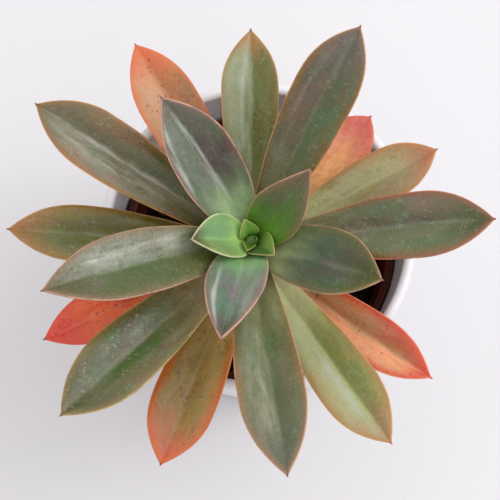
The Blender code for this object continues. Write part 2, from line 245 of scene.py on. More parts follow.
def set_attribute(mesh, name, values):
    """Stores a number or a vector for each point of a mesh, for its material to read."""
    kind, field = ("FLOAT", "value") if values.ndim == 1 else ("FLOAT_VECTOR", "vector")
    layer = mesh.attributes.new(name, kind, "POINT")
    layer.data.foreach_set(field, values.astype(np.float32).ravel())


def soft_noise(first, second, seed, waves=5):
    """Smooth unevenness, about -1 to 1: sine waves over two coordinates, with seeded directions and phases."""
    draw = np.random.default_rng(seed)
    total = np.zeros(np.broadcast(first, second).shape)
    for order in range(waves):
        turn, phase = draw.uniform(0.0, 2.0 * math.pi, 2)
        rate = 2.0 * math.pi * (0.6 + 0.5 * order)
        total += np.sin(rate * (first * math.cos(turn) + second * math.sin(turn)) + phase) / (1.0 + 0.5 * order)
    return total / 2.6


def stem_axis(height):
    """The stem's centre at a height: upright in the soil, then a straight lean to its tip."""
    collar = SOIL_HEIGHT + SOIL_MOUND
    share = np.clip((height - collar) / (STEM_TOP_HEIGHT - collar), 0.0, 1.0)
    return [foot + (top - foot) * share for foot, top in zip(STEM_FOOT, STEM_TOP)]


def stem_radius(height):
    """The stem's radius at a height: even up to the taper, then a quarter ellipse to the growing tip."""
    share = np.clip((height - (STEM_TOP_HEIGHT - STEM_TAPER)) / STEM_TAPER, 0.0, 1.0)
    return STEM_TIP_RADIUS + (STEM_RADIUS - STEM_TIP_RADIUS) * np.sqrt(1.0 - share**2)


def station(number):
    """The height at which leaf number n grows, counted from 1 at the top."""
    share = (number - 1) / (len(LEAVES) - 1)
    return STEM_TOP_HEIGHT - CROWN_LENGTH * share**NODE_SPREAD


def outline(leaf, number, shares):
    """Half-width along a leaf as a share of its widest: a swell from the base, then a curve to a point."""
    power = YOUNG_SWELL + (OLD_SWELL - YOUNG_SWELL) * min((number - 1) / (FULL_GROWN - 1), 1.0)
    before = np.clip(shares / leaf.widest, 0.0, 1.0)
    after = np.clip((shares - leaf.widest) / (1.0 - leaf.widest), 0.0, 1.0)
    swell = BASE_SHARE + (1.0 - BASE_SHARE) * np.sin(0.5 * math.pi * before) ** power
    return swell * (1.0 - after**leaf.point)


def midrib(leaf, number, shares):
    """Midrib points, and the left and up directions there, at these shares of the leaf's length.

    The midrib climbs at rise - droop * share, and CLASP more at its base, and heads for azimuth + sway * share.
    Its points are a running sum of these directions. Past the tip it goes straight on.
    """
    steps = np.linspace(0.0, 1.0, MIDRIB_STEPS)
    clasp = CLASP * np.clip(1.0 - steps / CLASP_SHARE, 0.0, 1.0) ** 2
    climb = np.radians(np.minimum(leaf.rise - leaf.droop * steps + clasp, STEEPEST))
    heading = np.radians(leaf.azimuth + leaf.sway * steps)
    level = np.cos(climb)
    ahead = np.stack([level * np.cos(heading), level * np.sin(heading), np.sin(climb)], 1)
    halfway = 0.5 * (ahead[1:] + ahead[:-1])
    travelled = np.concatenate([np.zeros((1, 3)), np.cumsum(halfway, 0)]) / (MIDRIB_STEPS - 1)
    height = station(number)
    reach = stem_radius(height) + ROOT_GAP
    centre = stem_axis(height)
    root = [centre[0] + reach * math.cos(heading[0]), centre[1] + reach * math.sin(heading[0]), height]
    path = np.array(root) + leaf.length * travelled
    points = np.stack([np.interp(shares, steps, path[:, k]) for k in range(3)], 1)
    along = np.stack([np.interp(shares, steps, ahead[:, k]) for k in range(3)], 1)
    beyond = np.clip(shares - 1.0, 0.0, None)[:, None]
    points = points + along * beyond * leaf.length
    turn = np.interp(shares, steps, heading)
    left = np.stack([-np.sin(turn), np.cos(turn), np.zeros_like(turn)], 1)
    up = np.cross(along, left)
    roll = np.radians(leaf.roll) * np.clip(shares / ROLL_SHARE, 0.0, 1.0)[:, None]
    return points, left * np.cos(roll) + up * np.sin(roll), up * np.cos(roll) - left * np.sin(roll)


def leaf_rings(leaf, number):
    """A leaf's skin as rings of points, and the values its material reads.

    Rings are closer together at the base and the tip. A ring is a soft V, thickened by a shallow crown above and
    a keel below, with a round rim at each side. Past the outline's own tip a nib swells and closes. Sine waves in
    the leaf's own coordinates make the rim wander and the faces uneven, and a dried leaf adds puckers. place is
    the share of the length, the share of the half-width and 1 above or 0 below. reach is millimetres along and
    across, with a shift for each leaf, and edge is millimetres from the rim.
    """
    nib_share = NIB_LENGTH * min(1.0, leaf.length / NIB_FULL_LENGTH) / leaf.length
    spread = 0.5 - 0.5 * np.cos(np.linspace(0.0, math.pi, LEAF_RINGS + 1))
    shares = spread * (1.0 + nib_share)
    upper = np.linspace(0.0, math.pi, UPPER_SIDES, endpoint=False)
    under = np.linspace(math.pi, 2.0 * math.pi, UNDER_SIDES, endpoint=False)
    around = np.concatenate([upper, under])
    across, lift = np.cos(around)[None, :], np.sin(around)[None, :]
    inside = np.clip(shares, 0.0, 1.0)
    cap = np.sqrt(1.0 - np.clip(1.0 - inside / BASE_CAP, 0.0, 1.0) ** 2)
    grown = min(1.0, leaf.length / SKIN_FULL_LENGTH)
    near_tip = np.clip((shares - (1.0 - nib_share)) / (2.0 * nib_share), 0.0, 1.0)
    nib = NIB_RADIUS * grown * np.sin(math.pi * near_tip) ** 0.7
    half = np.hypot(0.5 * leaf.width * outline(leaf, number, inside) * cap, nib)
    keel = np.hypot(leaf.keel * np.sqrt(np.clip(1.0 - inside**2, 0.0, 1.0)) * cap, nib)
    wander = 1.0 + RIM_WANDER * soft_noise(inside[:, None] * 2.2, np.sign(across) * 3.0, 40 + number)
    half_here = half[:, None] * wander
    rim = np.minimum(RIM_THICKNESS * grown, 0.4 * half)[:, None] * np.sqrt(np.abs(lift))
    fold = math.radians(leaf.fold)
    crease = np.sqrt(across**2 + CREASE_SOFTNESS**2) - CREASE_SOFTNESS
    crease = crease / (math.sqrt(1.0 + CREASE_SOFTNESS**2) - CREASE_SOFTNESS)
    belly = np.where(lift > 0.0, keel[:, None] * CROWN_SHARE * lift + rim, keel[:, None] * lift - rim)
    body = (np.sin(math.pi * inside) ** 0.5)[:, None]
    along_mm = inside[:, None] * leaf.length * 1000.0
    across_mm = half_here * across * 1000.0
    uneven = soft_noise(along_mm / UNEVEN_PITCH[0], across_mm / UNEVEN_PITCH[1], 90 + number)
    pucker = soft_noise(along_mm / PUCKER_PITCH[0], across_mm / PUCKER_PITCH[1], 140 + number, 6)
    pillow = PILLOW * np.sin(math.pi * np.abs(across)) * np.clip(lift / PILLOW_SHARE, 0.0, 1.0)
    bulge = body * grown * (pillow + UNEVENNESS * uneven + leaf.crinkle * pucker)
    points, left, up = midrib(leaf, number, shares)
    sideways = (half_here * across * math.cos(fold))[..., None]
    upwards = (half_here * crease * math.sin(fold) + belly + bulge)[..., None]
    rings = points[:, None, :] + left[:, None, :] * sideways + up[:, None, :] * upwards
    top = np.broadcast_to((lift > -1e-9).astype(float), half_here.shape)
    place = np.stack(np.broadcast_arrays(inside[:, None], across, top), -1)
    reach = np.stack(np.broadcast_arrays(along_mm, across_mm, number * PATTERN_SHIFT), -1)
    edge = half_here * (1.0 - np.abs(across)) * 1000.0
    return rings, place, reach, edge


def turned_rings(profile, centre=(0.0, 0.0), sides=TURNED_SIDES):
    """Rings of a turned piece: each (radius, height) point of the profile is carried round the axis."""
    profile = np.array(profile)
    around = np.linspace(0.0, 2.0 * math.pi, sides, endpoint=False)
    x = centre[0] + profile[:, :1] * np.cos(around)
    y = centre[1] + profile[:, :1] * np.sin(around)
    z = np.broadcast_to(profile[:, 1:], x.shape)
    return np.stack([x, y, z], -1)


def arc(centre, radius, start, end, count):
    """Points on a circle in the radius-height plane, from one angle to another, in degrees."""
    angles = np.radians(np.linspace(start, end, count))
    return np.stack([centre[0] + radius * np.cos(angles), centre[1] + radius * np.sin(angles)], 1)


def run(start, end, count):
    """Evenly spaced points on the line from start to end, without the end."""
    return np.array(start) + np.subtract(end, start) * np.arange(count)[:, None] / count


# ---------------------------------------------------------------- node helpers


def tone(red, green, blue):
    """A display colour, 0 to 255 a channel, as the linear colour that a shader takes."""
    share = np.array([red, green, blue]) / 255.0
    linear = np.where(share <= 0.04045, share / 12.92, ((share + 0.055) / 1.055) ** 2.4)
    return (*[float(value) for value in linear], 1.0)


def grey(level):
    """A linear grey, from 0, black, to 1, white."""
    return (level, level, level, 1.0)


def plug(tree, value, socket):
    """Links a socket to an input, or sets the input to a plain value."""
    if isinstance(value, bpy.types.NodeSocket):
        tree.links.new(value, socket)
    else:
        socket.default_value = value


def add(tree, kind, inputs, **settings):
    """A node with these settings, its inputs linked to sockets or set to values."""
    made = tree.nodes.new(kind)
    for name, value in settings.items():
        setattr(made, name, value)
    for key, value in inputs.items():
        plug(tree, value, made.inputs[key])
    return made


def maths(tree, operation, first, second=0.0, clamp=False):
    made = add(tree, "ShaderNodeMath", {0: first, 1: second}, operation=operation, use_clamp=clamp)
    return made.outputs[0]


def times(tree, first, *others):
    """The product of values."""
    for other in others:
        first = maths(tree, "MULTIPLY", first, other)
    return first


def plus(tree, first, *others):
    """The sum of values."""
    for other in others:
        first = maths(tree, "ADD", first, other)
    return first


def blend(tree, share, first, second, way="MIX"):
    """The first colour with a share of the second mixed in. A Mix node's colours are 6, 7 and output 2."""
    inputs = {0: share, 6: first, 7: second}
    return add(tree, "ShaderNodeMix", inputs, data_type="RGBA", blend_type=way).outputs[2]


def ease(tree, value, low, high, to_low=0.0, to_high=1.0):
    """A smooth step: to_low up to low, to_high from high on."""
    inputs = {"Value": value, "From Min": low, "From Max": high, "To Min": to_low, "To Max": to_high}
    return add(tree, "ShaderNodeMapRange", inputs, interpolation_type="SMOOTHSTEP").outputs[0]


def noise(tree, vector, scale, detail=3.0, roughness=0.5, distortion=0.0):
    inputs = {"Vector": vector, "Scale": scale, "Detail": detail, "Roughness": roughness}
    return add(tree, "ShaderNodeTexNoise", inputs | {"Distortion": distortion}).outputs[0]


def leaf_noise(tree, reach, along, across, detail, roughness, distortion=0.0, shift=(0.0, 0.0, 0.0)):
    """Noise on a leaf's own millimetres, at these rates along and across it."""
    return noise(tree, stretched(tree, reach, (along, across, 1.0), shift), 1.0, detail, roughness, distortion)


def dots(tree, vector, scale, inner, outer):
    """Round spots, 1 in the middle and 0 from their rim on."""
    distance = add(tree, "ShaderNodeTexVoronoi", {"Vector": vector, "Scale": scale}).outputs["Distance"]
    return ease(tree, distance, inner, outer, 1.0, 0.0)


def object_place(tree):
    return tree.nodes.new("ShaderNodeTexCoord").outputs["Object"]


def attribute(tree, name, output="Fac"):
    """A value stored in the mesh: Fac for a number, Vector for a vector."""
    return add(tree, "ShaderNodeAttribute", {}, attribute_name=name).outputs[output]


def stretched(tree, vector, scale, shift=(0.0, 0.0, 0.0)):
    return add(tree, "ShaderNodeMapping", {"Vector": vector, "Scale": scale, "Location": shift}).outputs[0]


def split(tree, vector):
    return add(tree, "ShaderNodeSeparateXYZ", {0: vector}).outputs


SOCKET_KINDS = {"colour": "NodeSocketColor", "value": "NodeSocketFloat", "vector": "NodeSocketVector"}


def new_group(name, inputs, outputs):
    """An empty node group. inputs and outputs give the names of each kind of socket, parted by commas.

    Returns its tree, its input sockets and its output node's sockets.
    """
    tree = bpy.data.node_groups.new(name, "ShaderNodeTree")
    for in_out, sockets in (("INPUT", inputs), ("OUTPUT", outputs)):
        for kind, labels in sockets.items():
            for label in labels.split(", "):
                tree.interface.new_socket(label, in_out=in_out, socket_type=SOCKET_KINDS[kind])
    return tree, tree.nodes.new("NodeGroupInput").outputs, tree.nodes.new("NodeGroupOutput").inputs


def use(tree, group, inputs):
    """A group placed in a material, with its inputs linked or set."""
    made = tree.nodes.new("ShaderNodeGroup")
    made.node_tree = group
    for key, value in inputs.items():
        plug(tree, value, made.inputs[key])
    return made.outputs


def new_material(name, specular=0.5):
    """A material with a Principled shader. Returns the material, its tree and the shader."""
    made = bpy.data.materials.new(name)
    made.use_nodes = True
    shader = made.node_tree.nodes["Principled BSDF"]
    shader.inputs["Specular IOR Level"].default_value = specular
    return made, made.node_tree, shader


def finish(tree, shader, colour, roughness, height, strength, distance):
    """Gives a shader its colour, its roughness and a relief of this height, strength and depth in metres."""
    plug(tree, colour, shader.inputs["Base Color"])
    plug(tree, roughness, shader.inputs["Roughness"])
    bump = add(tree, "ShaderNodeBump", {"Height": height, "Strength": strength, "Distance": distance})
    plug(tree, bump.outputs["Normal"], shader.inputs["Normal"])


# ---------------------------------------------------------------- shared effects

# Where two of a leaf's colour clouds lie in the noise, so that they differ from the first.
MAUVE_SHIFT = (7.3, 2.1, 0.0)
GOLD_SHIFT = (3.9, 8.4, 0.0)


def make_leaf_ground():
    """The leaf's ground colour: base to body to tip, a tint on each side of the crease, and three clouds.

    Noise moves every border a little, so that no zone ends on a line. The side tints fade in above the base. They
    are partly the leaf's own colours and partly painted light and shade, one half of the fold lighter and the
    other darker.
    The base colour is partly the leaf's own paler green and partly painted light against the shade near the stem.
    The clouds are green, mauve and gold, each in its own broad patches, and the gold ones lie near the edges.
    """
    colours = "Base, Body, Tip, Left, Right, Green, Mauve, Gold, Under"
    values = "Left Share, Right Share, Green Share, Mauve Share, Gold Share, Tip Start"
    inputs = {"vector": "Place, Reach", "colour": colours, "value": values}
    tree, given, out = new_group("leaf_ground", inputs, {"colour": "Color"})
    along, across, top = split(tree, given["Place"])
    reach = given["Reach"]
    shift = times(tree, maths(tree, "SUBTRACT", leaf_noise(tree, reach, 0.05, 0.16, 4.0, 0.6), 0.5), 0.30)
    drift = plus(tree, along, shift)
    side = plus(tree, across, shift)
    grown = ease(tree, drift, 0.24, 0.60)
    outer = ease(tree, maths(tree, "ABSOLUTE", across), 0.20, 0.90, 0.12, 1.0)
    green = ease(tree, leaf_noise(tree, reach, 0.030, 0.085, 3.0, 0.55), 0.43, 0.60)
    mauve = ease(tree, leaf_noise(tree, reach, 0.034, 0.090, 3.0, 0.55, 0.0, MAUVE_SHIFT), 0.47, 0.62)
    gold = ease(tree, leaf_noise(tree, reach, 0.045, 0.110, 5.0, 0.6, 0.0, GOLD_SHIFT), 0.38, 0.56)
    masks = {
        # Side tints: partly the leaf's own colours, partly painted light and shade on the two halves.
        "Left": ease(tree, side, -0.05, 0.16),
        "Right": ease(tree, side, 0.05, -0.16),
        "Green": green,
        "Mauve": mauve,
        "Gold": times(tree, gold, outer),
    }
    # Base to body: the paler base is partly painted light against the shade near the stem.
    colour = blend(tree, ease(tree, drift, 0.02, 0.60), given["Base"], given["Body"])
    for name, mask in masks.items():
        colour = blend(tree, times(tree, mask, given[name + " Share"], grown), colour, given[name])
    tip = maths(tree, "POWER", ease(tree, drift, given["Tip Start"], 1.0), 0.9)
    colour = blend(tree, tip, colour, given["Tip"])
    under = times(tree, maths(tree, "SUBTRACT", 1.0, top), 0.75)
    plug(tree, blend(tree, under, colour, given["Under"]), out["Color"])
    return tree


def make_leaf_rim():
    """A soft blush that fades in from the edge, a thin coloured rim on it, and a dark nib at the tip."""
    values = "Edge, Blush Share, Blush Width, Rim Share, Rim Width"
    inputs = {"vector": "Place, Reach", "colour": "Color, Blush, Rim, Nib", "value": values}
    tree, given, out = new_group("leaf_rim", inputs, {"colour": "Color"})
    along = split(tree, given["Place"])[0]
    cloud = leaf_noise(tree, given["Reach"], 0.14, 0.05, 3.0, 0.6)
    edge = times(tree, given["Edge"], plus(tree, times(tree, cloud, 1.2), 0.4))
    blush = ease(tree, edge, 0.0, given["Blush Width"], 1.0, 0.0)
    blush = times(tree, blush, ease(tree, along, 0.22, 0.62), given["Blush Share"])
    colour = blend(tree, blush, given["Color"], given["Blush"])
    rim_start = times(tree, given["Rim Width"], 0.25)
    rim_end = times(tree, given["Rim Width"], 1.5)
    rim = ease(tree, given["Edge"], rim_start, rim_end, 1.0, 0.0)
    worn = ease(tree, cloud, 0.36, 0.56, 0.35, 1.0)
    rim = times(tree, rim, worn, ease(tree, along, 0.04, 0.2), given["Rim Share"])
    colour = blend(tree, rim, colour, given["Rim"])
    plug(tree, blend(tree, ease(tree, along, 0.985, 0.998, 0.0, 0.8), colour, given["Nib"]), out["Color"])
    return tree


def make_skin_marks():
    """Ragged brown mottling, chalky dried-water stains, dark freckles in groups and fine pale flecks."""
    inputs = {"colour": "Color, Mottle, Freckle", "vector": "Reach"}
    inputs["value"] = "Mottle Share, Freckle Share, Fleck Share"
    tree, given, out = new_group("skin_marks", inputs, {"colour": "Color", "value": "Height"})
    place = object_place(tree)
    patch = ease(tree, leaf_noise(tree, given["Reach"], 0.07, 0.17, 8.0, 0.66, 0.3), 0.50, 0.60)
    colour = blend(tree, times(tree, patch, given["Mottle Share"]), given["Color"], given["Mottle"])
    fine = ease(tree, noise(tree, place, 820.0, 4.0, 0.6, 0.8), 0.3, 0.7)
    colour = blend(tree, 0.38, colour, blend(tree, fine, grey(0.38), grey(0.62)), "SOFT_LIGHT")
    chalk = ease(tree, noise(tree, place, 620.0, 6.0, 0.72), 0.52, 0.66)
    kept = ease(tree, noise(tree, place, 95.0, 4.0, 0.6), 0.46, 0.62)
    stain = times(tree, chalk, kept, given["Fleck Share"], 0.42)
    colour = blend(tree, stain, colour, tone(176, 184, 168))
    groups = ease(tree, noise(tree, place, 95.0, 2.0, 0.5), 0.36, 0.56)
    freckle = times(tree, dots(tree, place, 420.0, 0.14, 0.30), groups, given["Freckle Share"])
    colour = blend(tree, freckle, colour, given["Freckle"])
    scarce = ease(tree, noise(tree, place, 240.0, 2.0, 0.5), 0.50, 0.66)
    fleck = times(tree, dots(tree, place, 900.0, 0.10, 0.28), scarce, given["Fleck Share"], 0.6)
    plug(tree, blend(tree, fleck, colour, tone(196, 198, 184)), out["Color"])
    plug(tree, maths(tree, "SUBTRACT", fleck, freckle), out["Height"])
    return tree


def make_wax_and_sheen():
    """The pale waxy film: streaked along the leaf, and rubbed off in ragged places where the skin shows.

    It pales the colour and dulls the gloss. The film is partly the leaf's own wax bloom and partly painted sheen
    on the lit side. Left and Right say how much lies on each side of the crease, Crease how much painted
    highlight runs along the crease, and Streak how much painted glint lies in a narrow streak along the leaf.
    Streak Place is its share of the half-width.
    """
    inputs = {"colour": "Color, Wax", "vector": "Place, Reach"}
    inputs["value"] = "Left, Right, Crease, Gloss, Streak Place, Streak"
    tree, given, out = new_group("wax_and_painted_sheen", inputs, {"colour": "Color", "value": "Roughness"})
    along, across, top = split(tree, given["Place"])
    streak = leaf_noise(tree, given["Reach"], 0.06, 0.40, 4.0, 0.52)
    rubbed = leaf_noise(tree, given["Reach"], 0.10, 0.22, 5.0, 0.6)
    margin = ease(tree, maths(tree, "ABSOLUTE", across), 0.45, 0.95, 1.0, 0.30)
    # The film: partly real wax bloom, partly painted sheen.
    film = times(tree, ease(tree, rubbed, 0.26, 0.68), ease(tree, streak, 0.34, 0.66, 0.62, 1.1), margin)
    side = plus(tree, across, times(tree, maths(tree, "SUBTRACT", rubbed, 0.5), 0.4))
    left = times(tree, ease(tree, side, -0.03, 0.22), given["Left"])
    right = times(tree, ease(tree, side, 0.03, -0.22), given["Right"])
    ends = times(tree, ease(tree, along, 0.10, 0.45), ease(tree, along, 0.99, 0.8))
    # Painted highlight: a pale broken line along the crease.
    crease = ease(tree, maths(tree, "ABSOLUTE", side), 0.16, 0.0)
    crease = times(tree, crease, given["Crease"], ease(tree, streak, 0.35, 0.6))
    # Painted glint: a bright broken streak along the leaf at Streak Place.
    aside = maths(tree, "ABSOLUTE", maths(tree, "SUBTRACT", across, given["Streak Place"]))
    painted_glint = times(tree, ease(tree, aside, 0.17, 0.01), ease(tree, streak, 0.36, 0.60))
    painted_glint = times(tree, painted_glint, given["Streak"], ease(tree, along, 0.30, 0.60))
    spread = times(tree, plus(tree, left, right), film, ends)
    painted_highlights = times(tree, plus(tree, crease, painted_glint), ends)
    share = maths(tree, "MULTIPLY", maths(tree, "ADD", spread, painted_highlights, True), top, True)
    plug(tree, blend(tree, share, given["Color"], given["Wax"]), out["Color"])
    patchy = ease(tree, rubbed, 0.38, 0.62, -0.05, 0.10)
    plug(tree, plus(tree, given["Gloss"], patchy, times(tree, share, 0.12)), out["Roughness"])
    return tree


def make_skin_relief():
    """Fine pores, an orange-peel swell, and wrinkles that run mostly across the leaf."""
    inputs = {"vector": "Reach", "value": "Marks, Wrinkle Share"}
    tree, given, out = new_group("skin_relief", inputs, {"value": "Height"})
    place = object_place(tree)
    pores = times(tree, noise(tree, place, 2400.0, 3.0, 0.6), 0.08)
    peel = times(tree, noise(tree, place, 430.0, 4.0, 0.6, 0.7), 0.60)
    wrinkle = times(tree, leaf_noise(tree, given["Reach"], 0.85, 0.28, 5.0, 0.62, 1.2), given["Wrinkle Share"])
    plug(tree, plus(tree, pores, peel, wrinkle, times(tree, given["Marks"], 0.10)), out["Height"])
    return tree


def make_wear():
    """Dust and faint scuffs for the pots: a pale or dark film in soft clouds, with fine specks in it."""
    inputs = {"colour": "Color, Film", "value": "Film Share, Scale"}
    tree, given, out = new_group("pot_wear", inputs, {"colour": "Color", "value": "Mask"})
    place = object_place(tree)
    cloud = ease(tree, noise(tree, place, given["Scale"], 6.0, 0.62, 0.4), 0.36, 0.70)
    speck = ease(tree, noise(tree, place, times(tree, given["Scale"], 14.0), 2.0, 0.5), 0.66, 0.74)
    share = given["Film Share"]
    mask = maths(tree, "ADD", times(tree, cloud, share), times(tree, speck, share), True)
    plug(tree, blend(tree, mask, given["Color"], given["Film"]), out["Color"])
    plug(tree, mask, out["Mask"])
    return tree


LEAF_GROUND = make_leaf_ground()
LEAF_RIM = make_leaf_rim()
SKIN_MARKS = make_skin_marks()
WAX_AND_SHEEN = make_wax_and_sheen()
SKIN_RELIEF = make_skin_relief()
POT_WEAR = make_wear()


# ---------------------------------------------------------------- leaf finishes

# Each leaf's colours and marks, with painted light and shade among them. What a leaf doesn't say is as PLAIN_LEAF
# has it. A colour is red, green and blue from 0 to 255, and a fourth number is how much of it there is. base is
# the
# paler colour near the stem: partly the leaf's own, partly painted light against the shade there. left and right
# tint the two sides of the crease: partly the leaf's own colours, partly painted light and shade, one half lit
# and the other shaded. film is how much pale wax bloom and painted sheen lies on the left and on the right, and
# how much painted highlight lies in the crease. wax is the colour of that film and sheen. streak is where a
# painted glint runs, as a share of the half-width to the left, and how strong it is. Widths are in millimetres.
PLAIN_LEAF = dict(
    base=(120, 126, 74), body=(92, 96, 58), tip=(98, 92, 56), tip_start=0.66, left=(92, 96, 58, 0.0),
    right=(92, 96, 58, 0.0), green=(74, 98, 52, 0.55), mauve=(112, 86, 80, 0.45), gold=(122, 98, 34, 0.45),
    under=(128, 118, 90), blush=(140, 92, 54, 0.5), blush_width=3.6, rim=(186, 132, 90, 0.9),
    rim_width=0.45, nib=(110, 52, 40), mottle=(88, 64, 34, 0.35), freckle=(70, 40, 28, 0.0),
    fleck_share=0.35, wax=(172, 174, 160), film=(0.08, 0.08, 0.12), streak=(0.7, 0.0), gloss=0.27,
    wrinkle=0.3,
)

YOUNG_LEAF = dict(
    base=(66, 104, 2), body=(92, 134, 48), tip=(150, 150, 92), tip_start=0.8, green=(90, 146, 50, 0.2),
    mauve=(112, 86, 80, 0.0), gold=(160, 176, 84, 0.15), under=(120, 152, 84), blush=(150, 168, 96, 0.35),
    blush_width=1.0, rim=(200, 188, 136, 0.7), rim_width=0.28, nib=(150, 94, 80), mottle=(88, 64, 34, 0.0),
    fleck_share=0.05, film=(0.06, 0.06, 0.0), gloss=0.34,
)

